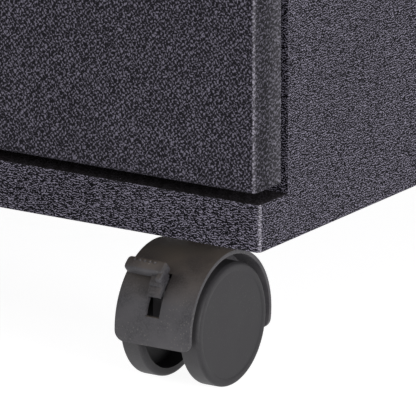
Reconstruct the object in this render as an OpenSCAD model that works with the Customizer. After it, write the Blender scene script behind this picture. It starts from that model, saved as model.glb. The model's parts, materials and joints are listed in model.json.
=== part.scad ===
// Three-drawer metal filing cabinet on four twin-wheel casters.
// Millimetres, +Z up, drawers open towards -Y, wheels stand on Z = 0.

/* [Case] */
// Outside width of the case.
body_w = 390; // [340:5:480]
// Depth of the case from the front rail to the back.
body_d = 500; // [450:5:620]
// Height of the case between the casters and the top cap.
case_h = 600; // [520:5:720]
// Height of the front rail under the lowest drawer.
rail_low = 19.7; // [15:0.1:40]
// Height of the front rail that carries the lock.
rail_top = 38; // [34:1:60]
// Thickness of the case sheet.
sheet = 1; // [0.8:0.1:1.5]
// Outside radius of the bends in the case sheet.
bend_r = 2; // [1.5:0.1:4]
// How far the side panels start behind the front rail.
side_back = 21.5; // [20:0.5:30]
// Height of the folded cap on top of the case.
cap_h = 18; // [12:1:30]

/* [Drawers] */
// Height of each of the two shallow drawer fronts.
box_front_h = 125; // [115:1:150]
// Depth of a folded drawer front from its face to its back edge.
front_t = 21; // [16:0.5:26]
// How far a drawer face stands in front of the rail.
front_proud = 4; // [0:0.5:6]
// Gap above, below and between the drawer fronts.
front_gap = 5.2; // [3:0.1:8]
// How far the sides of a drawer front lie inside the case sides.
front_inset = 0.6; // [0:0.1:3]
// Outside radius of the bends in a drawer front.
front_r = 2.4; // [1.2:0.1:4]
// Thickness of the sheet in the drawer trays.
tray_sheet = 0.8; // [0.6:0.1:1.2]
// Length of the trays from front to back.
tray_d = 430; // [380:5:540]
// Height of the two shallow trays.
box_tray_h = 90; // [86:1:100]
// How far each drawer runs out.
travel = 380; // [300:5:480]
// Length of the drawer slides.
slide_len = 420; // [360:5:520]

/* [Handles and lock] */
// Distance between the two posts of a handle.
handle_span = 128; // [96:1:192]
// Radius of the handle bar.
handle_r = 5; // [4:0.5:8]
// Distance from the drawer face to the middle of the handle bar.
handle_out = 24; // [20:1:40]
// Radius of the lock barrel.
lock_r = 9.5; // [8:0.5:11]
// How far the lock bar rises when the lock is turned.
lock_throw = 10; // [8:0.5:12]

/* [Casters] */
// Radius of the caster wheels.
wheel_r = 25.6; // [20:0.1:31]
// Width of one wheel.
wheel_w = 9.5; // [7:0.5:14]
// Gap between the two wheels of a caster.
wheel_gap = 19; // [17:0.5:26]
// Height from the axle to the bottom edge of the case.
axle_drop = 42.8; // [41:0.2:56]
// Distance from the axle to the upright swivel axis.
trail = 18; // [12:0.5:22]
// Distance of each swivel axis from the side of the case.
caster_side = 52; // [45:1:80]
// Distance of each swivel axis from the front or back of the case.
caster_end = 50; // [45:1:80]
// Angle that a brake lever moves through.
lever_turn = 14; // [8:1:14]

/* [Hidden] */
$fn = 64;
slack = 0.2;
run_fit = 0.05;
bore_fit = 0.02;
cut = 1;

case_z = wheel_r + axle_drop;
case_top = case_z + case_h;
rivet_out = 1;
handle_front = handle_out + handle_r;
total_d = body_d + front_proud + handle_front + rivet_out;
face_y = -total_d / 2 + handle_front;
rail_y = face_y + front_proud;
back_y = rail_y + body_d;
half_w = body_w / 2;
inner_w = half_w - sheet;

return_w = 16;
edge_fold = 15;
back_fold = 12;
low_z = case_z + rail_low;
high_z = case_top - rail_top;
stile_y = rail_y + side_back;

pan_sheet = 1.2;
pan_slack = 0.4;
pan_z = case_z + sheet;
pan_wall = 14;
upright_d = 30;
upright_y = [stile_y + sheet, rail_y + side_back + sheet + slide_len - upright_d - 10];
upright_x = half_w - return_w;
upright_z = pan_z + pan_sheet;
slot_pitch = 34;
slot_w = 4;
slot_h = 12;
bar_h = 12;
bar_d = 15;

file_front_h = high_z - low_z - 2 * box_front_h - 4 * front_gap;
file_tray_h = file_front_h - 52;
front_hs = [box_front_h, box_front_h, file_front_h];
tray_hs = [box_tray_h, box_tray_h, file_tray_h];
tops = [
    high_z - front_gap,
    high_z - 2 * front_gap - box_front_h,
    high_z - 3 * front_gap - 2 * box_front_h
];
front_w = body_w - 2 * front_inset;
front_back_y = face_y + front_t;
tray_lift = 14;
tray_fold = 5;

slide_t = 12.7;
slide_h = 45;
slide_wall = 1.2;
slide_up = 28;
slide_y = stile_y + 2.5;
tray_half = upright_x - slide_t;
mid_h = 37;
mid_far = 2;
mid_near = 2.2;
mid_web = 4.2;
inner_h = 28;
inner_deep = 6.5;

lock_x = half_w - 45;
lock_z = case_top - rail_top / 2;
lock_deep = 22;
lock_face = 2;
plug_r = 6;
pin_r = 2;
cam_t = 2.5;
cam_gap = 1;
arm_y = rail_y + lock_deep + 8;
arm_t = 2;
arm_low = 6.5;
arm_high = 7;
lock_bar_w = 12;
lock_bar_x = half_w - 12;
catch_up = 70;
catch_h = 12;
catch_out = 6.7;
hook_up = 56;
hook_h = 8;
hook_reach = half_w - 24;

handle_screw_r = 1.95;
handle_drop = 34;
post_r = 4.5;

hood_air = 4.9;
hood_r = wheel_r + hood_air;
hood_wall = 1.6;
hood_side = 1;
hood_half = wheel_gap / 2 + wheel_w - hood_side;
hood_cut = 7;
hood_tilt = 4;
core_half = wheel_gap / 2 - 1.2;
core_r = 13;
core_front = 17;
boss_r = 12;
boss_top = 3.5;
axle_r = 3;
axle_half = wheel_gap / 2 + wheel_w - 3;
king_r = 4;
king_len = 32;
plate_half = 25;
plate_t = 2.5;
race_r = 13;
race_t = 1.7;
plate_hole = 17;
screw_r = 2.5;
slot_x = -0.6;
slot_half = 3.4;
slot_low = 7.2;
slot_high = hood_r - 7.2;
stem_half = 3;
lever_at = [-10, 10];
lever_pin_r = 2;
pad_r = hood_r + 4.5;
pad_t = 5;
pad_len = 6;
pad_up = 47.5;
pad_left = 16.5;
pad_right = 2.4;
pad_reach = pad_r - 14.5;
shoe_r = 1;
shoe_gap = 1.22;
shoe_up = 37.84;
shoe_half = wheel_gap / 2 + wheel_w / 2;
wheel_edge = 1.5;

caster_x = half_w - caster_side;
front_caster_y = rail_y + caster_end;
back_caster_y = back_y - caster_end;

paint = [0.16, 0.155, 0.17];
steel = [0.7, 0.71, 0.72];
plastic = [0.14, 0.14, 0.145];
wheel_grey = [0.2, 0.2, 0.205];

function front_low(i) = tops[i] - front_hs[i];
function tray_low(i) = front_low(i) + tray_lift;
function slide_z(i) = tray_low(i) + slide_up;

// ---- shared shapes ----

// A box between two corners.
module block(low, high) {
    translate(low)
        cube([high[0] - low[0], high[1] - low[1], high[2] - low[2]]);
}

// A box whose two upright front edges are rounded.
module front_round(low, high, r) {
    block([low[0], low[1] + r, low[2]], high);
    block([low[0] + r, low[1], low[2]], [high[0] - r, low[1] + r, high[2]]);
    for (x = [low[0] + r, high[0] - r])
        translate([x, low[1] + r, low[2]])
            cylinder(r = r, h = high[2] - low[2]);
}

// A box whose two level front edges are rounded.
module level_round(low, high, r) {
    block([low[0], low[1] + r, low[2]], high);
    block([low[0], low[1], low[2] + r], [high[0], low[1] + r, high[2] - r]);
    for (z = [low[2] + r, high[2] - r])
        translate([low[0], low[1] + r, z])
            rotate([0, 90, 0])
                cylinder(r = r, h = high[0] - low[0]);
}

module both_sides() {
    children();
    mirror([1, 0, 0])
        children();
}

module along_x(r, x0, x1) {
    translate([x0, 0, 0])
        rotate([0, 90, 0])
            cylinder(r = r, h = x1 - x0);
}

module along_y(r, y0, y1) {
    translate([0, y0, 0])
        rotate([-90, 0, 0])
            cylinder(r = r, h = y1 - y0);
}

// ---- case ----

module rivet_places() {
    for (side = [-1, 1])
        for (part = [0.12, 0.5, 0.88])
            translate([side * (half_w - back_fold / 2), 0, case_z + part * case_h])
                children();
}

module case_wrap() {
    color(paint) {
        difference() {
            front_round([-half_w, rail_y, case_z], [half_w, back_y, case_top], bend_r);
            front_round(
                [-inner_w, rail_y + sheet, case_z + sheet],
                [inner_w, back_y - sheet, case_top - sheet],
                bend_r - sheet
            );
            block(
                [-half_w + edge_fold, rail_y + edge_fold, case_z - cut],
                [half_w - edge_fold, back_y - edge_fold, case_top + cut]
            );
            block(
                [-half_w + back_fold, back_y - 2 * sheet, case_z + edge_fold],
                [half_w - back_fold, back_y + cut, case_top - edge_fold]
            );
            block(
                [-half_w - cut, rail_y - cut, low_z],
                [half_w + cut, stile_y, high_z]
            );
            translate([lock_x, 0, lock_z])
                along_y(lock_r + slack, rail_y - cut, rail_y + 2 * sheet);
            rivet_places()
                along_y(pin_r, back_y - 2 * sheet, back_y + cut);
        }
        both_sides()
            block([upright_x, stile_y, low_z], [inner_w, stile_y + sheet, high_z]);
        for (z = [low_z - sheet, high_z])
            block([-inner_w, rail_y + sheet, z], [inner_w, stile_y + sheet, z + sheet]);
    }
}

module back_panel() {
    color(paint)
        difference() {
            block(
                [-inner_w + slack, back_y - 2 * sheet, case_z + 2 * sheet + pan_wall],
                [inner_w - slack, back_y - sheet, case_top - sheet - slack]
            );
            rivet_places()
                along_y(pin_r, back_y - 3 * sheet, back_y);
        }
}

module top_cap() {
    color(paint)
        difference() {
            intersection() {
                front_round(
                    [-half_w, face_y, case_top],
                    [half_w, back_y, case_top + cap_h],
                    bend_r
                );
                level_round(
                    [-half_w, face_y, case_top - bend_r],
                    [half_w, back_y, case_top + cap_h],
                    bend_r
                );
            }
            block(
                [-inner_w, face_y + sheet, case_top - cut],
                [inner_w, back_y - sheet, case_top + cap_h - sheet]
            );
        }
}

module bottom_pan() {
    pan_w = inner_w - pan_slack;
    pan_front = rail_y + sheet + pan_slack;
    pan_back = back_y - sheet - pan_slack;
    color(paint)
        difference() {
            block([-pan_w, pan_front, pan_z], [pan_w, pan_back, pan_z + pan_wall]);
            block(
                [-pan_w + pan_sheet, pan_front + pan_sheet, pan_z + pan_sheet],
                [pan_w - pan_sheet, pan_back - pan_sheet, pan_z + pan_wall + cut]
            );
            caster_places()
                screw_places()
                    translate([0, 0, -cut])
                        cylinder(r = screw_r + slack, h = pan_sheet + sheet + 2 * cut);
        }
}

module one_upright(y, slots) {
    top = high_z - sheet;
    low = upright_z;
    outer = inner_w - pan_slack - pan_sheet;
    difference() {
        block([upright_x, y, low], [outer, y + upright_d, top]);
        block(
            [upright_x + pan_sheet, y + pan_sheet, low - cut],
            [outer + cut, y + upright_d - pan_sheet, top + cut]
        );
        for (z = [low + slot_pitch : slot_pitch : top - slot_pitch])
            translate([upright_x - cut, y + upright_d - 2 * slot_w, z])
                cube([pan_sheet + 2 * cut, slot_w, slot_h]);
        if (slots)
            for (i = [0 : 2])
                block(
                    [upright_x - cut, arm_y - cut, tray_low(i) + hook_up - 2 * cut],
                    [
                        upright_x + pan_sheet + cut,
                        arm_y + hook_h + cut,
                        tray_low(i) + hook_up + hook_h + lock_throw + 2 * cut
                    ]
                );
    }
}

module uprights() {
    color(steel)
        for (side = [0, 1])
            mirror([side, 0, 0])
                for (k = [0, 1])
                    one_upright(upright_y[k], k == 0 && side == 0);
}

module cross_rails() {
    reach = upright_x;
    color(paint)
        for (i = [0, 1])
            translate([0, stile_y, front_low(i) - front_gap / 2])
                difference() {
                    block([-reach, 0, -bar_h / 2], [reach, bar_d, bar_h / 2]);
                    block(
                        [-reach - cut, sheet, -bar_h / 2 + sheet],
                        [reach + cut, bar_d + cut, bar_h / 2 - sheet]
                    );
                }
}

module rivets() {
    color(steel)
        rivet_places() {
            along_y(pin_r - run_fit, back_y - 2 * sheet - rivet_out, back_y + rivet_out / 2);
            along_y(pin_r + 1.4, back_y - 2 * sheet - rivet_out, back_y - 2 * sheet);
            along_y(pin_r + 1.4, back_y, back_y + rivet_out);
        }
}

// ---- slides: three nested channels on each side of each drawer ----

// A channel lying along Y, web at x0, lips reaching to x1.
module channel(x0, x1, web_x, height, y0, length) {
    block([web_x, y0, -height / 2], [web_x + slide_wall, y0 + length, height / 2]);
    for (s = [0, 1])
        mirror([0, 0, s])
            block([x0, y0, height / 2 - slide_wall], [x1, y0 + length, height / 2]);
}

module slide_outers() {
    color(steel)
        for (i = [0 : 2])
            both_sides()
                translate([0, 0, slide_z(i)])
                    channel(
                        tray_half + 1.5,
                        upright_x,
                        upright_x - slide_wall,
                        slide_h,
                        slide_y,
                        slide_len
                    );
}

module slide_mid(i) {
    color(steel)
        both_sides()
            translate([0, 0, slide_z(i)])
                channel(
                    tray_half + mid_near,
                    upright_x - mid_far,
                    upright_x - slide_wall - mid_web,
                    mid_h,
                    slide_y + 2,
                    slide_len - 8
                );
}

module slide_inner(i) {
    color(steel)
        both_sides()
            translate([0, 0, slide_z(i)])
                channel(
                    tray_half,
                    tray_half + inner_deep,
                    tray_half,
                    inner_h,
                    slide_y,
                    slide_len - 6
                );
}

module slide_mid_1() slide_mid(0);
module slide_mid_2() slide_mid(1);
module slide_mid_3() slide_mid(2);
module slide_inner_1() slide_inner(0);
module slide_inner_2() slide_inner(1);
module slide_inner_3() slide_inner(2);

// ---- drawers ----

module handle_places(i) {
    for (side = [-1, 1])
        translate([side * handle_span / 2, 0, tops[i] - handle_drop])
            children();
}

module front(i) {
    low = [-front_w / 2, face_y, front_low(i)];
    high = [front_w / 2, front_back_y, tops[i]];
    thin = [sheet, sheet, sheet];
    color(paint)
        difference() {
            intersection() {
                front_round(low, high, front_r);
                level_round(low, high, front_r);
            }
            block(low + thin, [high[0] - sheet, high[1] + cut, high[2] - sheet]);
            handle_places(i)
                along_y(handle_screw_r + slack, face_y - cut, face_y + 2 * sheet);
        }
}

module tray(i) {
    side = tray_half;
    t = tray_sheet;
    low = tray_low(i);
    high = low + tray_hs[i];
    y0 = front_back_y;
    y1 = y0 + tray_d;
    plate_w = front_w / 2 - sheet - slack;
    plate_low = front_low(i) + sheet + slack;
    color(steel) {
        difference() {
            block([-side, y0, low], [side, y1, high]);
            block([-side + t, y0 + t, low + t], [side - t, y1 - t, high + cut]);
        }
        both_sides()
            block([side - tray_fold, y0, high - t], [side, y1, high]);
        block([-plate_w, y0 - t, plate_low], [plate_w, y0, tops[i] - sheet - slack]);
        translate([0, arm_y + lock_bar_w, low + catch_up])
            cube_at_side(side);
    }
}

// The catch on the right of a tray that the lock bar holds.
module cube_at_side(x) {
    block([x - tray_sheet, 0, 0], [x + catch_out, 10, catch_h]);
}

module handle(i) {
    color(plastic) {
        translate([0, face_y - handle_out, tops[i] - handle_drop])
            along_x(handle_r, -handle_span / 2, handle_span / 2);
        for (side = [-1, 1])
            translate([side * handle_span / 2, face_y - handle_out, tops[i] - handle_drop])
                sphere(r = handle_r);
        difference() {
            handle_places(i)
                along_y(post_r, face_y - handle_out, face_y);
            handle_places(i)
                along_y(pin_r, face_y - handle_out / 2, face_y + cut);
        }
    }
}

module handle_screws(i) {
    color(steel)
        handle_places(i) {
            along_y(handle_screw_r, face_y - handle_out / 2 + 1, face_y + sheet);
            difference() {
                along_y(3.6, face_y + sheet, face_y + sheet + 2.4);
                block(
                    [-2.6, face_y + sheet + 1.4, -0.5],
                    [2.6, face_y + sheet + 3, 0.5]
                );
            }
        }
}

module bumpers(i) {
    color([0.1, 0.1, 0.1])
        for (side = [-1, 1])
            for (z = [front_low(i) + 16, tops[i] - 16])
                translate([side * (upright_x + 8), 0, z])
                    along_y(4, front_back_y, stile_y - 0.5);
}

module file_rails() {
    low = tray_low(2) + file_tray_h;
    color(steel)
        both_sides() {
            block(
                [tray_half - tray_fold, front_back_y + 2, low],
                [tray_half - tray_fold + 1.5, front_back_y + tray_d - 2, low + 12]
            );
            block(
                [tray_half - tray_fold + 1.5, front_back_y + 2, low],
                [tray_half - 0.5, front_back_y + tray_d - 2, low + 1.2]
            );
        }
}

module front_1() front(0);
module front_2() front(1);
module front_3() front(2);
module tray_1() tray(0);
module tray_2() tray(1);
module tray_3() tray(2);
module handle_1() handle(0);
module handle_2() handle(1);
module handle_3() handle(2);
module handle_screws_1() handle_screws(0);
module handle_screws_2() handle_screws(1);
module handle_screws_3() handle_screws(2);
module bumpers_1() bumpers(0);
module bumpers_2() bumpers(1);
module bumpers_3() bumpers(2);

// ---- lock: turning the plug lifts the bar, whose hooks rise in front of the catches ----

module lock_housing() {
    color(steel)
        translate([lock_x, 0, lock_z])
            difference() {
                union() {
                    along_y(lock_r, rail_y - cut, rail_y + lock_deep);
                    along_y(lock_r + 2, rail_y - lock_face, rail_y);
                }
                along_y(plug_r + run_fit, rail_y - 2 * lock_face, rail_y + lock_deep + cut);
            }
}

module lock_plug() {
    color(steel)
        translate([lock_x, 0, lock_z])
            difference() {
                along_y(plug_r, rail_y - lock_face - 0.5, rail_y + lock_deep + cam_gap);
                block(
                    [-0.9, rail_y - lock_face - cut, -3.5],
                    [0.9, rail_y + lock_deep / 2, 3.5]
                );
            }
}

module lock_cam() {
    y0 = rail_y + lock_deep + cam_gap;
    color(steel)
        translate([lock_x, 0, lock_z]) {
            along_y(plug_r - 0.5, y0, y0 + cam_t);
            block([0, y0, -3.5], [lock_throw, y0 + cam_t, 3.5]);
            translate([lock_throw, 0, 0]) {
                along_y(3.5, y0, y0 + cam_t);
                along_y(pin_r, y0 + cam_t, arm_y + arm_t + 2);
            }
        }
}

module lock_bar() {
    x1 = lock_bar_x + arm_t;
    low = tray_low(2) + hook_up - hook_h;
    color(steel) {
        block([lock_bar_x, arm_y, low], [x1, arm_y + lock_bar_w, lock_z + 3]);
        difference() {
            block(
                [lock_x - 8, arm_y, lock_z - arm_low],
                [x1, arm_y + arm_t, lock_z + arm_high]
            );
            block(
                [lock_x - pin_r - 1, arm_y - cut, lock_z - pin_r - 0.4],
                [
                    lock_x + lock_throw + pin_r + 1,
                    arm_y + arm_t + cut,
                    lock_z + 0.25 * lock_throw + pin_r
                ]
            );
        }
        for (i = [0 : 2])
            block(
                [hook_reach, arm_y, tray_low(i) + hook_up],
                [lock_bar_x, arm_y + hook_h, tray_low(i) + hook_up + hook_h]
            );
    }
}

module lock_guides() {
    gap = 0.4;
    wide = 3;
    color(plastic)
        for (z = [tray_low(2) + file_tray_h, tray_low(0) + 2])
            translate([0, 0, z])
                difference() {
                    block(
                        [upright_x + pan_sheet, arm_y - wide, 0],
                        [inner_w, arm_y + lock_bar_w + wide, wide]
                    );
                    block(
                        [lock_bar_x - gap, arm_y - gap, -cut],
                        [lock_bar_x + arm_t + gap, arm_y + lock_bar_w + gap, wide + cut]
                    );
                }
}

// ---- casters: drawn about the swivel axis, Z = 0 at the bottom edge of the case ----

module caster_places() {
    for (y = [front_caster_y, back_caster_y])
        for (side = [-1, 1])
            translate([side * caster_x, y, case_z])
                children();
}

module screw_places() {
    for (a = [-1, 1])
        for (b = [-1, 1])
            translate([a * plate_hole, b * plate_hole, 0])
                children();
}

module caster_plates() {
    low = sheet - plate_t;
    color(steel)
        caster_places()
            difference() {
                union() {
                    block([-plate_half, -plate_half, low], [plate_half, plate_half, sheet]);
                    translate([0, 0, low - race_t])
                        cylinder(r = race_r, h = race_t);
                }
                screw_places()
                    translate([0, 0, low - cut])
                        cylinder(r = screw_r + slack, h = plate_t + 2 * cut);
                translate([0, 0, low - race_t - cut])
                    cylinder(r = king_r + bore_fit, h = race_t + plate_t + 2 * cut);
            }
}

module caster_screws() {
    low = sheet - plate_t;
    color(steel)
        caster_places()
            screw_places() {
                translate([0, 0, low])
                    cylinder(r = screw_r, h = plate_t + pan_sheet + 5);
                difference() {
                    translate([0, 0, low - 2.2])
                        cylinder(r = 4.4, h = 2.2);
                    translate([0, 0, low - 3])
                        cube([1, 6, 3.2], center = true);
                }
            }
}

module swivel_pins() {
    color(steel)
        caster_places()
            translate([0, 0, sheet - king_len])
                cylinder(r = king_r, h = king_len);
}

// A caster's hood; brake adds the slot and the bearings of a lever.
module hood(brake) {
    color(plastic)
        translate([0, -trail, -axle_drop])
            difference() {
                union() {
                    difference() {
                        along_x(hood_r, -hood_half, hood_half);
                        along_x(hood_r - hood_wall, -hood_half - cut, hood_half + cut);
                        rotate([-hood_tilt, 0, 0])
                            block(
                                [-hood_half - cut, -2 * hood_r, -2 * hood_r],
                                [hood_half + cut, 2 * hood_r, -hood_cut]
                            );
                    }
                    along_x(core_r, -core_half, core_half);
                    intersection() {
                        along_x(hood_r - hood_wall / 2, -core_half, core_half);
                        block([-core_half, -core_front, 0], [core_half, hood_r, hood_r]);
                    }
                    difference() {
                        translate([0, trail, hood_r / 4])
                            cylinder(r = boss_r, h = axle_drop - boss_top - hood_r / 4);
                        along_x(hood_r - hood_wall / 2, -hood_r, hood_r);
                    }
                }
                along_x(axle_r + bore_fit, -core_half - cut, core_half + cut);
                translate([0, trail, -wheel_r + axle_drop - king_len])
                    cylinder(r = king_r + run_fit, h = 2 * axle_drop);
                if (brake) {
                    block(
                        [slot_x - slot_half, -hood_r - cut, slot_low],
                        [slot_x + slot_half, lever_at[0] / 2, slot_high]
                    );
                    translate([0, lever_at[0], lever_at[1]])
                        along_x(lever_pin_r + run_fit, -core_half + 1, core_half - 1);
                    translate([0, lever_at[0], lever_at[1]])
                        along_x(6, slot_x - slot_half, slot_x + slot_half);
                }
            }
}

module axle() {
    color(steel)
        translate([0, -trail, -axle_drop])
            along_x(axle_r, -axle_half, axle_half);
}

// One wheel; side is 1 for the wheel at +X of the pair and -1 for the other.
module wheel(side) {
    inner = wheel_gap / 2;
    outer = inner + wheel_w;
    ring = wheel_r - wheel_edge - 1.5;
    color(wheel_grey)
        translate([0, -trail, -axle_drop])
            rotate([0, side * 90, 0])
                rotate_extrude()
                    polygon([
                        [axle_r + run_fit, inner],
                        [wheel_r - wheel_edge, inner],
                        [wheel_r, inner + wheel_edge],
                        [wheel_r, outer - wheel_edge],
                        [wheel_r - wheel_edge, outer],
                        [ring, outer],
                        [ring - 0.5, outer - 0.5],
                        [0, outer - 0.5],
                        [0, outer - 2],
                        [axle_r + run_fit, outer - 2]
                    ]);
}

// Brake lever: a bar to press, an arm through the slot and a rod above both wheels.
module lever() {
    arm_half = stem_half - slack;
    boss_out = 4.5;
    color(plastic)
        translate([0, -trail, -axle_drop]) {
            rotate([-pad_up, 0, 0]) {
                block(
                    [-pad_left, -pad_r - pad_t / 2, -pad_len / 2],
                    [pad_right, -pad_r + pad_t / 2, pad_len / 2]
                );
                block(
                    [slot_x - arm_half + slack, -pad_r + pad_t / 2 - cut, -pad_len - 2],
                    [slot_x + arm_half - slack, -pad_r + pad_t / 2 - slack, 0]
                );
            }
            translate([0, lever_at[0], lever_at[1]]) {
                along_x(lever_pin_r, -core_half + 1.3, core_half - 1.3);
                along_x(boss_out, slot_x - stem_half, slot_x + stem_half);
                rotate([-pad_up + 10, 0, 0])
                    block([slot_x - arm_half, -pad_reach, -3.4], [slot_x + arm_half, 0, 3]);
            }
            rotate([-shoe_up, 0, 0])
                translate([0, -wheel_r - shoe_gap - shoe_r, 0])
                    along_x(shoe_r, -shoe_half, shoe_half);
        }
}

module at_caster(x_side, y) {
    translate([x_side * caster_x, y, case_z])
        children();
}

module hood_fr() at_caster(1, front_caster_y) hood(true);
module hood_fl() at_caster(-1, front_caster_y) hood(true);
module hood_br() at_caster(1, back_caster_y) hood(false);
module hood_bl() at_caster(-1, back_caster_y) hood(false);
module axle_fr() at_caster(1, front_caster_y) axle();
module axle_fl() at_caster(-1, front_caster_y) axle();
module axle_br() at_caster(1, back_caster_y) axle();
module axle_bl() at_caster(-1, back_caster_y) axle();
module wheel_fr_out() at_caster(1, front_caster_y) wheel(1);
module wheel_fr_in() at_caster(1, front_caster_y) wheel(-1);
module wheel_fl_out() at_caster(-1, front_caster_y) wheel(-1);
module wheel_fl_in() at_caster(-1, front_caster_y) wheel(1);
module wheel_br_out() at_caster(1, back_caster_y) wheel(1);
module wheel_br_in() at_caster(1, back_caster_y) wheel(-1);
module wheel_bl_out() at_caster(-1, back_caster_y) wheel(-1);
module wheel_bl_in() at_caster(-1, back_caster_y) wheel(1);
module lever_fr() at_caster(1, front_caster_y) lever();
module lever_fl() at_caster(-1, front_caster_y) lever();

case_wrap();
back_panel();
top_cap();
bottom_pan();
uprights();
cross_rails();
slide_outers();
rivets();
caster_plates();
caster_screws();
swivel_pins();
lock_housing();
lock_guides();
lock_plug();
lock_cam();
lock_bar();
front_1();
front_2();
front_3();
tray_1();
tray_2();
tray_3();
handle_1();
handle_2();
handle_3();
handle_screws_1();
handle_screws_2();
handle_screws_3();
slide_inner_1();
slide_inner_2();
slide_inner_3();
slide_mid_1();
slide_mid_2();
slide_mid_3();
bumpers_1();
bumpers_2();
bumpers_3();
file_rails();
hood_fr();
hood_fl();
hood_br();
hood_bl();
axle_fr();
axle_fl();
axle_br();
axle_bl();
wheel_fr_out();
wheel_fr_in();
wheel_fl_out();
wheel_fl_in();
wheel_br_out();
wheel_br_in();
wheel_bl_out();
wheel_bl_in();
lever_fr();
lever_fl();
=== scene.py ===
import json
import math
import bmesh
import bpy
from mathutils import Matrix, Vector


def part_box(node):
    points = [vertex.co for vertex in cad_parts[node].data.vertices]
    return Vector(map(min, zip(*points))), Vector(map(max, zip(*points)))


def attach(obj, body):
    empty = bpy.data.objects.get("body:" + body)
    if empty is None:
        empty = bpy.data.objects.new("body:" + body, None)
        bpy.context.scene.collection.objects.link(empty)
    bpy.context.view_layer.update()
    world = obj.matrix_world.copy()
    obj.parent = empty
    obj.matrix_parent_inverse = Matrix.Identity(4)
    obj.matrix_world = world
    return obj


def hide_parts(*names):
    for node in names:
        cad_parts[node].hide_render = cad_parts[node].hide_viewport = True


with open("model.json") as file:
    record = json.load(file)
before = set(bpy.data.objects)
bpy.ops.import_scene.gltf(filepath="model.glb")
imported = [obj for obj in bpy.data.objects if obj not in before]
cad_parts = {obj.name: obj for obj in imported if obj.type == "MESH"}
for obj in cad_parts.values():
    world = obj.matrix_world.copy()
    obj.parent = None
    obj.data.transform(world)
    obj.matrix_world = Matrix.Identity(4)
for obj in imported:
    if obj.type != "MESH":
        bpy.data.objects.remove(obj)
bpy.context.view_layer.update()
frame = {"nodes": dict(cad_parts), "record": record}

print("frame loaded with", len(frame["nodes"]), "nodes")

# the view, the light and the floor
caseLow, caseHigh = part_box("case_wrap")
cornerPoint = Vector((caseHigh[0], caseLow[1], caseLow[2]))  # bottom right corner of the front

cameraSetup = {
    "azimuth": 32.8, "elevation": 15.9,
    "away": 5.0, "lens": 1086.0, "sensor": 36.0,
    "across": -0.0204, "up": 0.0181,  # from the corner to the middle of the view
    "near": 0.05, "far": 60,
}


def makeCamera(setup):
    turn, lift = math.radians(setup["azimuth"]), math.radians(setup["elevation"])
    outward = Vector((math.sin(turn) * math.cos(lift), -math.cos(turn) * math.cos(lift), math.sin(lift)))
    rightward = Vector((math.cos(turn), math.sin(turn), 0))
    aim = cornerPoint + rightward * setup["across"] + outward.cross(rightward) * setup["up"]
    data = bpy.data.cameras.new("viewCamera")
    data.lens, data.sensor_width = setup["lens"], setup["sensor"]
    data.clip_start, data.clip_end = setup["near"], setup["far"]
    camera = bpy.data.objects.new("viewCamera", data)
    camera.location = aim + outward * setup["away"]
    camera.rotation_euler = outward.to_track_quat("Z", "Y").to_euler()
    bpy.context.collection.objects.link(camera)
    bpy.context.scene.camera = camera


lightSetup = {
    "sky": 0.55, "target": (0, 0, 0.25),
    "key": {"place": (1.9, -0.85, 0.34), "size": 0.55, "power": 26},
    "fill": {"place": (-1.6, -2.8, 1.2), "size": 2.2, "power": 14},
    "rim": {"place": (0.6, 2.6, 2.4), "size": 1.5, "power": 20},
}


def makeLights(setup):
    world = bpy.data.worlds.new("paleStudio")
    bpy.context.scene.world = world
    world.use_nodes = True
    sky = world.node_tree.nodes["Background"]
    sky.inputs["Color"].default_value = (1, 1, 1, 1)
    sky.inputs["Strength"].default_value = setup["sky"]
    target = Vector(setup["target"])
    for name in ("key", "fill", "rim"):
        one = setup[name]
        data = bpy.data.lights.new(name + "Light", "AREA")
        data.size, data.energy = one["size"], one["power"]
        lamp = bpy.data.objects.new(name + "Light", data)
        lamp.location = one["place"]
        lamp.rotation_euler = (lamp.location - target).to_track_quat("Z", "Y").to_euler()
        bpy.context.collection.objects.link(lamp)


def clearPick():
    bpy.ops.object.select_all(action="DESELECT")


floorSetup = {"size": 30, "tint": (0.3, 0.3, 0.3, 1), "rough": 0.9, "glow": 0.92}


def makeFloor(setup):
    clearPick()
    bpy.ops.mesh.primitive_plane_add(size=setup["size"], location=(0, 0, 0))
    floor = bpy.context.object
    floor.name = "paleFloor"
    skin = bpy.data.materials.new("paleFloor")
    skin.use_nodes = True
    shader = skin.node_tree.nodes["Principled BSDF"]
    shader.inputs["Base Color"].default_value = setup["tint"]
    shader.inputs["Roughness"].default_value = setup["rough"]
    shader.inputs["Emission Color"].default_value = (1, 1, 1, 1)
    shader.inputs["Emission Strength"].default_value = setup["glow"]
    floor.data.materials.append(skin)


makeCamera(cameraSetup)
makeLights(lightSetup)
makeFloor(floorSetup)
bpy.context.scene.view_settings.view_transform = "Standard"
print("camera, lights and floor ready")


# finishes, made of nodes on the object's own coordinates; a span is where a blend starts and ends
def startSkin(name, metal=0.0, shine=0.5):
    skin = bpy.data.materials.new(name)
    skin.use_nodes = True
    tree = skin.node_tree
    shader = tree.nodes["Principled BSDF"]
    shader.inputs["Metallic"].default_value = metal
    shader.inputs["Specular IOR Level"].default_value = shine
    place = tree.nodes.new("ShaderNodeTexCoord").outputs["Object"]
    return skin, tree, shader, place


def noise(tree, place, scale, detail=2.0, stretch=None):
    one = tree.nodes.new("ShaderNodeTexNoise")
    one.inputs["Scale"].default_value = scale
    one.inputs["Detail"].default_value = detail
    if stretch:
        turned = tree.nodes.new("ShaderNodeMapping")
        turned.inputs["Scale"].default_value = stretch
        tree.links.new(place, turned.inputs["Vector"])
        place = turned.outputs["Vector"]
    tree.links.new(place, one.inputs["Vector"])
    return one.outputs["Fac"]


def cells(tree, place, scale):
    one = tree.nodes.new("ShaderNodeTexVoronoi")
    one.inputs["Scale"].default_value = scale
    tree.links.new(place, one.inputs["Vector"])
    return one.outputs["Distance"]


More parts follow.
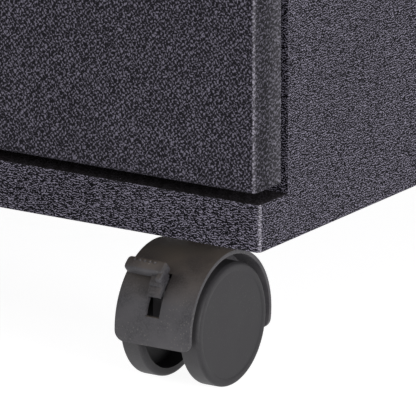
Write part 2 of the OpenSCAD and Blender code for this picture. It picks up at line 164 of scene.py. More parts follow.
def sums(tree, kind, a, b):
    one = tree.nodes.new("ShaderNodeMath")
    one.operation = kind
    for k, value in enumerate((a, b)):
        if isinstance(value, (int, float)):
            one.inputs[k].default_value = value
        else:
            tree.links.new(value, one.inputs[k])
    return one.outputs["Value"]


def times(tree, a, b):
    return sums(tree, "MULTIPLY", a, b)


def unsigned(tree, value):
    return sums(tree, "ABSOLUTE", value, 0)


def spread(tree, value, low, high, toLow=0.0, toHigh=1.0):
    one = tree.nodes.new("ShaderNodeMapRange")
    for k, number in enumerate((low, high, toLow, toHigh)):
        one.inputs[k + 1].default_value = number
    tree.links.new(value, one.inputs["Value"])
    return one.outputs["Result"]


def blendTint(tree, amount, a, b):
    one = tree.nodes.new("ShaderNodeMix")
    one.data_type = "RGBA"
    tree.links.new(amount, one.inputs[0])
    for k, value in ((6, a), (7, b)):
        if isinstance(value, tuple):
            one.inputs[k].default_value = (*value, 1)
        else:
            tree.links.new(value, one.inputs[k])
    return one.outputs[2]


def axes(tree, value):
    one = tree.nodes.new("ShaderNodeSeparateXYZ")
    tree.links.new(value, one.inputs["Vector"])
    return [one.outputs[axis] for axis in "XYZ"]


def facing(tree):
    return axes(tree, tree.nodes.new("ShaderNodeTexCoord").outputs["Normal"])


def relief(tree, shader, height, strength, depth):
    one = tree.nodes.new("ShaderNodeBump")
    one.inputs["Strength"].default_value = strength
    one.inputs["Distance"].default_value = depth
    tree.links.new(height, one.inputs["Height"])
    tree.links.new(one.outputs["Normal"], shader.inputs["Normal"])


# one along rubbed edges, nothing on flat faces
def edgeMask(tree, width, sharp):
    soft = tree.nodes.new("ShaderNodeBevel")
    soft.samples = 4
    soft.inputs["Radius"].default_value = width
    true = tree.nodes.new("ShaderNodeNewGeometry")
    dot = tree.nodes.new("ShaderNodeVectorMath")
    dot.operation = "DOT_PRODUCT"
    tree.links.new(soft.outputs["Normal"], dot.inputs[0])
    tree.links.new(true.outputs["Normal"], dot.inputs[1])
    return spread(tree, dot.outputs["Value"], 1.0, sharp)


# bend in each coat is the strength of a painted highlight on the upright bends
# dust in each coat is the tint of dust and painted light on the ledges below the cap
# flank in each coat is the strength of a painted shade on the side faces
coatSetup = {
    "case": {"low": (0.0020, 0.0018, 0.0030), "high": (0.170, 0.157, 0.204),
             "ripple": 0.00100, "twist": 8.0, "loose": 2.4, "turns": (0.16, -0.16),
             "bead": 1900, "fine": 3600, "stretch": (0.64, 0.64, 1.0),
             "contrast": (0.5, 0.63), "strength": 0.9, "depth": 0.00022, "rough": (0.42, 0.62),
             "shine": 0.05, "worn": (0.15, 0.14, 0.165), "bend": 0.52, "flank": 0.05,
             "dust": (0.034, 0.030, 0.032)},
    "front": {"low": (0.0048, 0.0043, 0.0063), "high": (0.128, 0.118, 0.154),
              "ripple": 0.00150, "twist": 7.0, "loose": 2.4, "turns": (0.72, -0.82),
              "bead": 1600, "fine": 3200, "stretch": (1.0, 1.0, 1.0),
              "contrast": (0.435, 0.70), "strength": 0.7, "depth": 0.00025, "rough": (0.42, 0.64),
              "shine": 0.07, "worn": (0.12, 0.115, 0.135), "bend": 0.28, "flank": 0.38,
              "dust": (0.05, 0.046, 0.046)},
}
# what both coats share
coatShares = {
    "ripples": 0.22, "bead": 0.38, "fine": 0.18,  # shares of the height
    "shift": 0.37, "drift": (1, 0.7, 0.4), "lean": -0.6, "waver": 0.45, "peakPower": 1.6,
}
# real wear, and painted highlights, painted shade and painted light for the coats
coatWearAndShading = {
    "cloud": 16, "cloudSpan": (0.3, 0.7), "cloudAmount": 0.12, "peakSpan": (0.0, 0.8), "hollowShare": 0.35,
    "rubWidth": 0.0012, "rubSharp": 0.75, "rubPatch": 240, "rubSpan": (0.4, 0.62), "rubAmount": 0.3,
    "bendSpan": (0.03, 0.28), "bendPower": 4, "bendTint": (0.46, 0.44, 0.5),
    "browSpan": (0.1, 0.5), "browAmount": 0.4, "browTint": (0.3, 0.285, 0.33),
    "flankSpan": (0.95, 0.99), "chinSpan": (-0.08, -0.4), "chinAmount": 0.6,
    "ledgeSpan": (0.9, 0.98), "dustSpan": (0.3, 0.7), "dustAmount": (0.55, 0.9),
    "capSpan": (0.66, 0.65),  # heights in metres, just below the cap
}


def ripples(tree, place, look, share, turn, shift):
    turned = tree.nodes.new("ShaderNodeMapping")
    turned.inputs["Rotation"].default_value = (share["lean"] * turn, turn, 0)
    turned.inputs["Location"].default_value = [shift * part for part in share["drift"]]
    tree.links.new(place, turned.inputs["Vector"])
    one = tree.nodes.new("ShaderNodeTexWave")
    one.wave_type = "BANDS"
    one.bands_direction = "Z"
    one.inputs["Scale"].default_value = math.pi / (10 * look["ripple"])  # the spacing of the bands in metres
    one.inputs["Distortion"].default_value = look["twist"]
    one.inputs["Detail"].default_value = 1.0
    one.inputs["Detail Scale"].default_value = look["loose"]
    one.inputs["Detail Roughness"].default_value = share["waver"]
    tree.links.new(turned.outputs["Vector"], one.inputs["Vector"])
    return one.outputs["Fac"]


# two sets of wavering ripples that cross, broken up by finer grain
def coatHeight(tree, place, look, share):
    first = ripples(tree, place, look, share, look["turns"][0], 0.0)
    second = ripples(tree, place, look, share, look["turns"][1], share["shift"])
    bead = noise(tree, place, look["bead"], 0, look["stretch"])
    fine = noise(tree, place, look["fine"], 0)
    crossed = times(tree, sums(tree, "ADD", first, second), share["ripples"])
    beaded = sums(tree, "ADD", times(tree, bead, share["bead"]), times(tree, fine, share["fine"]))
    return sums(tree, "ADD", crossed, beaded)


# adds real wear and dust to the coat, with painted highlights, painted shade and painted light
def shadeAndWearCoat(tree, place, look, effects, coat, height, peaks):
    rubPatches = spread(tree, noise(tree, place, effects["rubPatch"], 3), *effects["rubSpan"])
    rubbed = times(tree, edgeMask(tree, effects["rubWidth"], effects["rubSharp"]), rubPatches)
    coat = blendTint(tree, times(tree, rubbed, effects["rubAmount"]), coat, look["worn"])
    towardX, towardY, towardZ = facing(tree)
    sideways, endways = unsigned(tree, towardX), unsigned(tree, towardY)
    onPeaks = spread(tree, peaks, *effects["peakSpan"], effects["hollowShare"], 1.0)
    # a painted highlight: the coat is lightened round the upright bends, on the grain's peaks
    turned = times(tree, sums(tree, "POWER", sideways, effects["bendPower"]), endways)
    bend = times(tree, spread(tree, turned, *effects["bendSpan"], 0.0, look["bend"]), onPeaks)
    coat = blendTint(tree, bend, coat, effects["bendTint"])
    # a painted highlight lightens the upper edges
    slope = times(tree, sums(tree, "MAXIMUM", sideways, endways), towardZ)
    browHighlight = times(tree, spread(tree, slope, *effects["browSpan"], 0.0, effects["browAmount"]), onPeaks)
    coat = blendTint(tree, browHighlight, coat, effects["browTint"])
    # painted shade darkens the side faces and the lower edges
    flank = spread(tree, sideways, *effects["flankSpan"], 0.0, look["flank"])
    coat = blendTint(tree, flank, coat, look["low"])
    chinShade = spread(tree, slope, *effects["chinSpan"], 0.0, effects["chinAmount"])
    coat = blendTint(tree, chinShade, coat, look["low"])
    # dust, and painted light that lifts the shaded upward ledges below the cap
    belowCap = spread(tree, axes(tree, place)[2], *effects["capSpan"])
    ledgeDustAndLight = times(tree, spread(tree, towardZ, *effects["ledgeSpan"]), belowCap)
    ledgeDustAndLight = times(tree, ledgeDustAndLight, spread(tree, height, *effects["dustSpan"], *effects["dustAmount"]))
    return blendTint(tree, ledgeDustAndLight, coat, look["dust"])


def texturedCoat(name, look):
    skin, tree, shader, place = startSkin(name, shine=look["shine"])
    height = coatHeight(tree, place, look, coatShares)
    peaks = spread(tree, height, *look["contrast"])
    clouds = noise(tree, place, coatWearAndShading["cloud"], 3)
    cloud = spread(tree, clouds, *coatWearAndShading["cloudSpan"], 0.0, coatWearAndShading["cloudAmount"])
    coat = blendTint(tree, sums(tree, "POWER", peaks, coatShares["peakPower"]), look["low"], look["high"])
    coat = blendTint(tree, cloud, coat, look["low"])
    coat = shadeAndWearCoat(tree, place, look, coatWearAndShading, coat, height, peaks)
    tree.links.new(coat, shader.inputs["Base Color"])
    smoothest, roughest = look["rough"]
    tree.links.new(spread(tree, peaks, 0, 1, roughest, smoothest), shader.inputs["Roughness"])
    relief(tree, shader, height, look["strength"], look["depth"])
    return skin


plasticSetup = {
    "hood": {"tint": (0.023, 0.022, 0.026), "pale": (0.062, 0.059, 0.064), "rough": (0.5, 0.68),
             "grain": 1500, "strength": 0.5, "dust": 0.8, "film": 0.8, "scuff": 0.0, "shine": 0.3},
    "wheel": {"tint": (0.0125, 0.012, 0.0137), "pale": (0.022, 0.0205, 0.0232), "rough": (0.5, 0.62),
              "grain": 1800, "strength": 0.25, "dust": 0.2, "film": 0.0, "scuff": 0.8, "shine": 0.3},
    "plain": {"tint": (0.016, 0.016, 0.017), "pale": (0.026, 0.026, 0.027), "rough": (0.5, 0.62),
              "grain": 2800, "strength": 0.2, "dust": 0.15, "film": 0.2, "scuff": 0.0, "shine": 0.35},
    "rubber": {"tint": (0.012, 0.012, 0.012), "pale": (0.024, 0.024, 0.024), "rough": (0.75, 0.9),
               "grain": 2200, "strength": 0.3, "dust": 0.2, "film": 0.0, "scuff": 0.0, "shine": 0.3},
}
# what all four plastics share
plasticWear = {
    "cloud": 75, "cloudSpan": (0.35, 0.65), "grainSpan": (0.38, 0.66), "grainAmount": 0.7,
    "patch": 45, "patchSpan": (0.46, 0.54),
    "speck": 760, "speckSpan": (0.26, 0.1), "speckTint": (0.105, 0.10, 0.094),
    "crumb": 105, "crumbSpan": (0.045, 0.02), "crumbAmount": 0.8, "crumbTint": (0.30, 0.29, 0.26),
    "filmSpan": (0.4, 0.95), "filmShare": (0.45, 0.9), "filmTint": (0.125, 0.098, 0.074),
    "treadSpan": (0.3, 0.9), "scuffSpan": (0.3, 0.6), "scuffShare": (0.6, 1.0),
    "scuffTint": (0.046, 0.0445, 0.0475),
    "rubWidth": 0.0007, "rubSharp": 0.8, "rubAmount": 0.25, "rubTint": (0.055, 0.052, 0.05),
    "depth": 0.00012,
}


def mouldedPlastic(name, look):
    effects = plasticWear
    skin, tree, shader, place = startSkin(name, shine=look["shine"])
    fine = noise(tree, place, look["grain"], 3)
    cloud = spread(tree, noise(tree, place, effects["cloud"], 4), *effects["cloudSpan"])
    tint = blendTint(tree, cloud, look["tint"], look["pale"])
    grains = spread(tree, fine, *effects["grainSpan"], 0.0, effects["grainAmount"])
    tint = blendTint(tree, grains, tint, look["pale"])
    patches = spread(tree, noise(tree, place, effects["patch"], 2), *effects["patchSpan"])
    specks = spread(tree, cells(tree, place, effects["speck"]), *effects["speckSpan"])
    crumbs = spread(tree, cells(tree, place, effects["crumb"]), *effects["crumbSpan"])
    dust = times(tree, times(tree, specks, patches), look["dust"])
    tint = blendTint(tree, dust, tint, effects["speckTint"])
    tint = blendTint(tree, times(tree, crumbs, look["dust"] * effects["crumbAmount"]), tint, effects["crumbTint"])
    # a brownish film settles on what faces up
    towardX, _, towardZ = facing(tree)
    film = times(tree, spread(tree, towardZ, *effects["filmSpan"]),
                 spread(tree, cloud, 0, 1, *effects["filmShare"]))
    tint = blendTint(tree, times(tree, film, look["film"]), tint, effects["filmTint"])
    # rolling scuffs the treads pale
    tread = sums(tree, "SUBTRACT", 1.0, unsigned(tree, towardX))
    scuffed = times(tree, spread(tree, tread, *effects["treadSpan"], 0.0, look["scuff"]),
                    spread(tree, fine, *effects["scuffSpan"], *effects["scuffShare"]))
    tint = blendTint(tree, scuffed, tint, effects["scuffTint"])
    rubbed = times(tree, edgeMask(tree, effects["rubWidth"], effects["rubSharp"]), effects["rubAmount"])
    tint = blendTint(tree, rubbed, tint, effects["rubTint"])
    tree.links.new(tint, shader.inputs["Base Color"])
    tree.links.new(spread(tree, cloud, 0, 1, *look["rough"]), shader.inputs["Roughness"])
    relief(tree, shader, fine, look["strength"], effects["depth"])
    return skin


metalSetup = {
    "zinc": {"tint": (0.42, 0.43, 0.44), "pale": (0.6, 0.6, 0.59), "rough": (0.28, 0.48),
             "stretch": (1, 0.04, 1)},
    "chrome": {"tint": (0.66, 0.66, 0.67), "pale": (0.78, 0.78, 0.78), "rough": (0.08, 0.2),
               "stretch": (1, 1, 1)},
}
metalWear = {
    "drawn": 900, "cloud": 40, "cloudSpan": (0.3, 0.7), "roughSpan": (0.25, 0.75),
    "strength": 0.08, "depth": 0.0001,
    "rubWidth": 0.0008, "rubSharp": 0.8, "rubAmount": 0.5, "rubTint": (0.8, 0.8, 0.79),
}


def platedMetal(name, look):
    effects = metalWear
    skin, tree, shader, place = startSkin(name, metal=1.0)
    drawn = noise(tree, place, effects["drawn"], 4, look["stretch"])
    cloud = spread(tree, noise(tree, place, effects["cloud"], 5), *effects["cloudSpan"])
    tint = blendTint(tree, cloud, look["tint"], look["pale"])
    rubbed = times(tree, edgeMask(tree, effects["rubWidth"], effects["rubSharp"]), effects["rubAmount"])
    tint = blendTint(tree, rubbed, tint, effects["rubTint"])
    tree.links.new(tint, shader.inputs["Base Color"])
    both = times(tree, sums(tree, "ADD", drawn, cloud), 0.5)
    tree.links.new(spread(tree, both, *effects["roughSpan"], *look["rough"]), shader.inputs["Roughness"])
    relief(tree, shader, drawn, effects["strength"], effects["depth"])
    return skin


satinSetup = {
    "tray": {"tint": (0.022, 0.022, 0.025), "pale": (0.034, 0.034, 0.038), "rough": (0.34, 0.46)},
    "handle": {"tint": (0.014, 0.014, 0.016), "pale": (0.022, 0.022, 0.024), "rough": (0.28, 0.4)},
}
satinWear = {
    "peel": 620, "cloud": 30, "cloudSpan": (0.3, 0.7), "strength": 0.12, "depth": 0.0002,
    "scuff": 420, "scuffStretch": (1, 0.05, 1), "scuffSpan": (0.66, 0.74), "scuffAmount": 0.3,
    "scuffTint": (0.09, 0.09, 0.095),
    "rubWidth": 0.0008, "rubSharp": 0.8, "rubAmount": 0.4, "rubTint": (0.1, 0.1, 0.1),
}


def satinPaint(name, look):
    effects = satinWear
    skin, tree, shader, place = startSkin(name)
    peel = noise(tree, place, effects["peel"], 3)
    cloud = spread(tree, noise(tree, place, effects["cloud"], 4), *effects["cloudSpan"])
    tint = blendTint(tree, cloud, look["tint"], look["pale"])
    scuffs = spread(tree, noise(tree, place, effects["scuff"], 4, effects["scuffStretch"]), *effects["scuffSpan"])
    tint = blendTint(tree, times(tree, scuffs, effects["scuffAmount"]), tint, effects["scuffTint"])
    rubbed = times(tree, edgeMask(tree, effects["rubWidth"], effects["rubSharp"]), effects["rubAmount"])
    tint = blendTint(tree, rubbed, tint, effects["rubTint"])
    tree.links.new(tint, shader.inputs["Base Color"])
    tree.links.new(spread(tree, cloud, 0, 1, *look["rough"]), shader.inputs["Roughness"])
    relief(tree, shader, peel, effects["strength"], effects["depth"])
    return skin


skins = {
    "case_paint": texturedCoat("caseCoat", coatSetup["case"]),
    "front_paint": texturedCoat("frontCoat", coatSetup["front"]),
    "tray_paint": satinPaint("trayPaint", satinSetup["tray"]),
    "handle_paint": satinPaint("handlePaint", satinSetup["handle"]),
    "zinc_steel": platedMetal("zincSteel", metalSetup["zinc"]),
    "lock_chrome": platedMetal("lockChrome", metalSetup["chrome"]),
    "black_plastic": mouldedPlastic("plainPlastic", plasticSetup["plain"]),
    "bumper_rubber": mouldedPlastic("bumperRubber", plasticSetup["rubber"]),
    "hood_plastic": mouldedPlastic("hoodPlastic", plasticSetup["hood"]),
    "lever_plastic": mouldedPlastic("leverPlastic", plasticSetup["hood"]),
    "wheel_plastic": mouldedPlastic("wheelPlastic", plasticSetup["wheel"]),
}
slotOf = {part["node"]: part["material_slot"] for part in frame["record"]["subparts"]}
bodyOf = {name: body for body, names in frame["record"]["behaviour"]["bodies"].items() for name in names}
for nodeName, cadObject in frame["nodes"].items():
    for socket in cadObject.material_slots:
        socket.material = skins[slotOf[nodeName]]
print("finishes ready:", len(skins))


# shared steps for the pieces
hair = 0.00001  # closer than this is the same place


# selects the edges or faces for which the rule says yes
def pick(kind, rule):
    mesh = bpy.context.object.data
    shape = bmesh.from_edit_mesh(mesh)
    bpy.ops.mesh.select_mode(type=kind)
    bpy.ops.mesh.select_all(action="DESELECT")
    for one in {"EDGE": shape.edges, "FACE": shape.faces}[kind]:
        if kind == "EDGE":
            middle = (one.verts[0].co + one.verts[1].co) / 2
        else:
            middle = one.calc_center_median()
        if rule(middle, one):
            one.select_set(True)
    shape.select_flush_mode()
    bmesh.update_edit_mesh(mesh)


def modify(piece, kind, **values):
    one = piece.modifiers.new(kind.lower(), kind)
    for key, value in values.items():
        setattr(one, key, value)
    bpy.context.view_layer.objects.active = piece
    bpy.ops.object.modifier_apply(modifier=one.name)


def pickPiece(piece):
    clearPick()
    piece.select_set(True)
    bpy.context.view_layer.objects.active = piece


def settle(piece):
    pickPiece(piece)
    bpy.ops.object.transform_apply(location=True, rotation=True, scale=True)


def smooth(piece, angle=35):
    pickPiece(piece)
    bpy.ops.object.shade_smooth_by_angle(angle=math.radians(angle))


def join(pieces):
    clearPick()
    for piece in pieces:
        piece.select_set(True)
    bpy.context.view_layer.objects.active = pieces[0]
    bpy.ops.object.join()
    return bpy.context.object


# bevels only the edges that turn more than the angle
def easeEdges(piece, width, steps, angle):
    modify(piece, "BEVEL", width=width, segments=steps, limit_method="ANGLE", angle_limit=math.radians(angle))


# takes the tool away from the piece, or keeps what they share
def carve(piece, tool, way="DIFFERENCE", crossing=False):
    modify(piece, "BOOLEAN", operation=way, object=tool, solver="EXACT", use_self=crossing)
    bpy.data.objects.remove(tool)


def finishPiece(piece, name, body, slot, *nodes):
    piece.name = name
    piece.data.name = name
    piece.data.materials.clear()
    piece.data.materials.append(skins[slot])
    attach(piece, body)
    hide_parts(*nodes)


def middleOf(low, high):
    return [(low[k] + high[k]) / 2 for k in range(3)]


def addBlock(low, high, edge=0.0, steps=2):
    clearPick()
    size = [high[k] - low[k] for k in range(3)]
    bpy.ops.mesh.primitive_cube_add(size=1, location=middleOf(low, high))
    piece = bpy.context.object
    piece.scale = size
    settle(piece)
    if edge:
        modify(piece, "BEVEL", width=edge, segments=steps)
    return piece


def addRound(middle, radius, length, axis="X", sides=64, edge=0.0, ends="NGON"):
    clearPick()
    turn = {"X": (0, math.pi / 2, 0), "Y": (math.pi / 2, 0, 0), "Z": (0, 0, 0)}[axis]
    bpy.ops.mesh.primitive_cylinder_add(vertices=sides, radius=radius, depth=length, end_fill_type=ends,
                                        location=middle, rotation=turn)
    piece = bpy.context.object
    settle(piece)
    if edge:
        easeEdges(piece, edge, 3, 40)
    return piece


# casters
wheelSetup = {
    "sides": 96, "endShare": 0.49, "endCorners": 40,  # how the end faces are told from the rest
    "chamfer": 0.0016, "ring": 0.0012, "step": 0.0003, "stepWidth": 0.0006, "stepEdge": 0.0003,
    "rings": (0.006, 0.009), "hub": 0.009, "recess": 0.0070, "rim": 0.0018, "wallLean": 0.0005,
    "hubEdge": 0.0018, "hubLean": 0.0004,
}


def makeWheel(tag, place):
    look = wheelSetup
    node = "wheel_" + tag + "_" + place
    low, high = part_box(node)
    middle = middleOf(low, high)
    side = 1 if middle[0] > middleOf(*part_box("hood_" + tag))[0] else -1
    radius, width = (high[2] - low[2]) / 2, high[0] - low[0]
    end = width * look["endShare"]
    wheel = addRound(middle, radius, width, "X", look["sides"])
    bpy.ops.object.mode_set(mode="EDIT")
    pick("EDGE", lambda m, e: abs(m[0] - middle[0]) > end)
    bpy.ops.mesh.bevel(offset=look["chamfer"], segments=5)
    # the outer face has a shallow step, the inner one a deep recess round the hub
    pick("FACE", lambda m, f: (m[0] - middle[0]) * side > end and len(f.verts) > look["endCorners"])
    bpy.ops.mesh.inset(thickness=look["ring"])
    bpy.ops.mesh.inset(thickness=look["stepWidth"], depth=-look["step"])
    for ringWidth in (look["stepEdge"], *look["rings"]):
        bpy.ops.mesh.inset(thickness=ringWidth)
    pick("FACE", lambda m, f: (m[0] - middle[0]) * side < -end and len(f.verts) > look["endCorners"])
    bpy.ops.mesh.inset(thickness=look["rim"])
    bpy.ops.mesh.inset(thickness=look["wallLean"], depth=-look["recess"])
    bpy.ops.mesh.inset(thickness=radius - look["rim"] - look["hub"] - look["hubEdge"])
    bpy.ops.mesh.inset(thickness=look["hubLean"], depth=look["recess"])
    bpy.ops.object.mode_set(mode="OBJECT")
    smooth(wheel, 32)
    modify(wheel, "WEIGHTED_NORMAL", keep_sharp=True)
    finishPiece(wheel, "wheel" + tag.capitalize() + place.capitalize(), node, "wheel_plastic", node)


hoodSetup = {
    "radius": 0.0305, "wall": 0.0016, "half": 0.018, "below": 0.007, "tilt": 4.0, "corner": 0.0042,
    "roughCut": 0.013, "reach": 0.036,
    "core": 0.013, "coreFront": 0.017, "coreHalf": 0.0083, "coreEdge": 0.0006,
    "boss": 0.012, "bossUp": 0.0076, "trail": 0.018, "scoopLong": 0.08,
    "slotPlace": -0.0006, "slotHalf": 0.0034, "slotLow": 0.0072, "slotHigh": 0.0233,
    "slotFront": 0.034, "slotBack": 0.005, "edge": 0.0004,
}


# the axle's place, halfway between a caster's wheels
def axleOf(tag):
    acrossMiddle = middleOf(*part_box("hood_" + tag))[0]
    return acrossMiddle, *middleOf(*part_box("wheel_" + tag + "_out"))[1:]


def makeHood(tag, brake):
    look = hoodSetup
    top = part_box("hood_" + tag)[1][2]
    x, y, z = axleOf(tag)
    shell = addRound((x, y, z), look["radius"], 2 * look["half"], "X", 128, ends="NOTHING")
    bpy.ops.object.mode_set(mode="EDIT")
    bpy.ops.mesh.select_all(action="SELECT")
    bpy.ops.mesh.bisect(plane_co=(x, y, z - look["roughCut"]), plane_no=(0, 0, 1), clear_inner=True)
    bpy.ops.object.mode_set(mode="OBJECT")
    modify(shell, "SOLIDIFY", thickness=look["wall"], offset=-1)
    # the rim rounds off at its four lower corners and runs lower at the back
    half, reach = look["half"], look["reach"]
    outline = addBlock((-half, -reach, -look["below"]), (half, reach, reach))
    bpy.ops.object.mode_set(mode="EDIT")
    pick("EDGE", lambda m, e: m[2] < hair - look["below"] and abs(abs(m[0]) - half) < hair)
    bpy.ops.mesh.bevel(offset=look["corner"], segments=7)
    bpy.ops.object.mode_set(mode="OBJECT")
    outline.rotation_euler = (-math.radians(look["tilt"]), 0, 0)
    outline.location = (x, y, z)
    settle(outline)
    carve(shell, outline, "INTERSECT")
    core = addRound((x, y, z), look["core"], 2 * look["coreHalf"], "X", 72, edge=look["coreEdge"])
    # the crown is the upper half of a disc between the wheels, cut off in front to leave the lever room
    crown = addRound((x, y, z), look["radius"] - look["wall"] / 2, 2 * look["coreHalf"], "X", 96)
    bpy.ops.object.mode_set(mode="EDIT")
    for point, way in (((x, y - look["coreFront"], z), (0, 1, 0)), ((x, y, z), (0, 0, 1))):
        bpy.ops.mesh.select_all(action="SELECT")
        bpy.ops.mesh.bisect(plane_co=point, plane_no=way, use_fill=True, clear_inner=True)
    bpy.ops.object.mode_set(mode="OBJECT")
    bossLow = z + look["bossUp"]
    bossMiddle = (x, y + look["trail"], (bossLow + top) / 2)
    boss = addRound(bossMiddle, look["boss"], top - bossLow, "Z", 64, edge=look["coreEdge"])
    carve(boss, addRound((x, y, z), look["radius"] - look["wall"] / 2, look["scoopLong"], "X", 96))
    hood = join([shell, core, crown, boss])
    if brake:
        slotX = x + look["slotPlace"]
        slot = addBlock((slotX - look["slotHalf"], y - look["slotFront"], z + look["slotLow"]),
                        (slotX + look["slotHalf"], y - look["slotBack"], z + look["slotHigh"]))
        carve(hood, slot, crossing=True)
    easeEdges(hood, look["edge"], 2, 40)
    smooth(hood, 35)
    finishPiece(hood, "hood" + tag.capitalize(), "caster_" + tag, "hood_plastic", "hood_" + tag)


leverSetup = {
    "radius": 0.035, "thick": 0.005, "length": 0.006, "angle": 47.5, "left": 0.0165, "right": 0.0024,
    "endRound": 0.42, "padEdge": 0.0011,
    "drop": 0.0030, "dropOut": 0.0006, "dropWider": 0.0004, "dropBelow": 0.0005, "dropEdge": 0.0009,
    "ribs": 5, "ribFrom": 0.0045, "ribPitch": 0.0024, "ribOut": 0.0005, "ribUp": 0.45,
    "ribRadius": 0.0006, "ribLength": 0.0022,
    "pivot": (-0.010, 0.010), "place": -0.0006, "arm": 0.0030, "armEnd": 28.5, "strip": (0.0312, 0.0332),
    "armLong": 0.0205, "armHalf": 0.003, "armLean": 10, "armEdge": 0.0005, "slack": 0.0002,
    "pivotRadius": 0.0045, "pivotEdge": 0.0004, "pin": 0.002, "pinLong": 0.0140,
    "shoe": (-0.02197, 0.01707), "shoeRadius": 0.001, "shoeHalf": 0.01425, "thinEdge": 0.0003,
}


# the thumb pad: a bar across the hood with a rounded free end, a drop to the slot and a row of ribs
def makePad(look):
    half = look["length"] / 2
    inner, outer = -look["radius"] + look["thick"] / 2, -look["radius"] - look["thick"] / 2
    bar = addBlock((-look["left"], outer, -half), (look["right"], inner, half))
    bpy.ops.object.mode_set(mode="EDIT")
    pick("EDGE", lambda m, e: m[0] < hair - look["left"])
    bpy.ops.mesh.bevel(offset=look["thick"] * look["endRound"], segments=6)
    bpy.ops.object.mode_set(mode="OBJECT")
    easeEdges(bar, look["padEdge"], 4, 50)
    dropLow = (0.0, outer + look["dropOut"], -half - look["drop"])
    dropHigh = (look["right"] + look["dropWider"], inner - look["slack"], half - look["dropBelow"])
    drop = addBlock(dropLow, dropHigh, look["dropEdge"], 3)
    parts = [bar, drop]
    for k in range(look["ribs"]):
        ribX = -look["left"] + look["ribFrom"] + k * look["ribPitch"]
        ribPlace = (ribX, outer + look["ribOut"], half * look["ribUp"])
        parts.append(addRound(ribPlace, look["ribRadius"], look["ribLength"], "Y", 12, edge=look["slack"]))
    pad = join(parts)
    pad.rotation_euler = (-math.radians(look["angle"]), 0, 0)
    settle(pad)
    return pad


# the strip outside the slot that follows the hood from the pad down to the arm
def makeStrip(look):
    inner, outer = look["strip"]
    strip = addRound((look["place"], 0, 0), outer, 2 * look["arm"], "X", 160)
    carve(strip, addRound((look["place"], 0, 0), inner, 4 * look["arm"], "X", 160))
    bpy.ops.object.mode_set(mode="EDIT")
    cuts = [(0, way * math.sin(math.radians(angle)), way * math.cos(math.radians(angle)))
            for angle, way in ((look["armEnd"], 1), (look["angle"], -1))]
    for cut in (*cuts, (0, -1, 0)):
        bpy.ops.mesh.select_all(action="SELECT")
        bpy.ops.mesh.bisect(plane_co=(0, 0, 0), plane_no=cut, use_fill=True, clear_inner=True)
    bpy.ops.object.mode_set(mode="OBJECT")
    easeEdges(strip, look["thinEdge"], 2, 50)
    return strip


def makeLever(tag):
    look = leverSetup
    pad = makePad(look)
    strip = makeStrip(look)
    # the arm goes through the slot to the pivot
    armHalf = look["arm"] - look["slack"]
    arm = addBlock((look["place"] - armHalf, -look["armLong"], -look["armHalf"]),
                   (look["place"] + armHalf, 0, look["armHalf"]), look["armEdge"], 2)
    arm.rotation_euler = (-math.radians(look["angle"] - look["armLean"]), 0, 0)
    arm.location = (0, *look["pivot"])
    settle(arm)
    hub = (look["place"], *look["pivot"])
    pivot = addRound(hub, look["pivotRadius"], 2 * look["arm"], "X", 40, edge=look["pivotEdge"])
    thinEdge = look["thinEdge"]
    pin = addRound((0, *look["pivot"]), look["pin"], look["pinLong"], "X", 32, edge=thinEdge)
    # the shoe is the brake bar above both treads
    shoe = addRound((0, *look["shoe"]), look["shoeRadius"], 2 * look["shoeHalf"], "X", 24, edge=thinEdge)
    lever = join([pad, strip, arm, pivot, pin, shoe])
    lever.location = axleOf(tag)
    settle(lever)
    smooth(lever, 35)
    finishPiece(lever, "lever" + tag.capitalize(), "brake_" + tag, "lever_plastic", "lever_" + tag)


for casterTag in ("fr", "fl", "br", "bl"):
    makeHood(casterTag, casterTag[0] == "f")
    for wheelPlace in ("out", "in"):
        makeWheel(casterTag, wheelPlace)
    if casterTag[0] == "f":
        makeLever(casterTag)
print("casters ready")


# drawer fronts: a folded pan with a hem at the back
frontSetup = {"bend": 0.0024, "sheet": 0.001, "hem": 0.007, "edge": 0.0002}


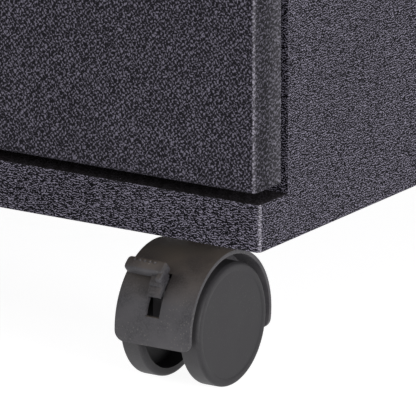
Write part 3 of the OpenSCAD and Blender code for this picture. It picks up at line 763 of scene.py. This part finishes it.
def makeFront(number):
    node = "front_" + str(number)
    low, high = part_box(node)
    look = frontSetup
    pan = addBlock(low, high)
    bpy.ops.object.mode_set(mode="EDIT")
    pick("FACE", lambda m, f: m[1] > high[1] - hair)
    bpy.ops.mesh.delete(type="ONLY_FACE")
    pick("EDGE", lambda m, e: all(v.co[1] < low[1] + hair for v in e.verts))
    bpy.ops.mesh.bevel(offset=look["bend"], segments=5)
    for edgeX, inward in ((low[0], 1), (high[0], -1)):
        pick("EDGE", lambda m, e: m[1] > high[1] - hair and abs(m[0] - edgeX) < hair)
        bpy.ops.mesh.extrude_region_move(TRANSFORM_OT_translate={"value": (inward * look["hem"], 0, 0)})
    bpy.ops.object.mode_set(mode="OBJECT")
    modify(pan, "SOLIDIFY", thickness=look["sheet"], offset=-1)
    easeEdges(pan, look["edge"], 2, 60)
    smooth(pan, 40)
    finishPiece(pan, "drawerFront" + str(number), "drawer_" + str(number), "front_paint", node)


for drawerNumber in (1, 2, 3):
    makeFront(drawerNumber)
print("drawer fronts ready")

# folded sheet and small fittings: softened copies of the plain solids
softSetup = {
    "case_wrap": {"edge": 0.00025, "angle": 30}, "top_cap": {"edge": 0.0003, "angle": 30},
    "back_panel": {"edge": 0.0002, "angle": 30}, "bottom_pan": {"edge": 0.0002, "angle": 30},
    "tray_1": {"edge": 0.0002, "angle": 30}, "tray_2": {"edge": 0.0002, "angle": 30},
    "tray_3": {"edge": 0.0002, "angle": 30}, "handle_1": {"edge": 0.0003, "angle": 35},
    "handle_2": {"edge": 0.0003, "angle": 35}, "handle_3": {"edge": 0.0003, "angle": 35},
    "lock_housing": {"edge": 0.0004, "angle": 35}, "lock_plug": {"edge": 0.0003, "angle": 35},
}


def softenNode(node, look):
    piece = frame["nodes"][node].copy()
    piece.data = piece.data.copy()
    for key in list(piece.keys()):
        del piece[key]  # the copy is no CAD node
    bpy.context.collection.objects.link(piece)
    piece.hide_render = piece.hide_viewport = False
    pickPiece(piece)
    bpy.ops.object.mode_set(mode="EDIT")
    bpy.ops.mesh.select_all(action="SELECT")
    bpy.ops.mesh.remove_doubles(threshold=hair)
    bpy.ops.mesh.dissolve_limited(angle_limit=math.radians(1))
    bpy.ops.object.mode_set(mode="OBJECT")
    easeEdges(piece, look["edge"], 2, 50)
    smooth(piece, look["angle"])
    modify(piece, "WEIGHTED_NORMAL", keep_sharp=True)
    first, *others = node.split("_")
    pieceName = first + "".join(word.capitalize() for word in others)
    finishPiece(piece, pieceName, bodyOf[node], slotOf[node], node)


for nodeName, nodeLook in softSetup.items():
    softenNode(nodeName, nodeLook)
print("sheet pieces ready")
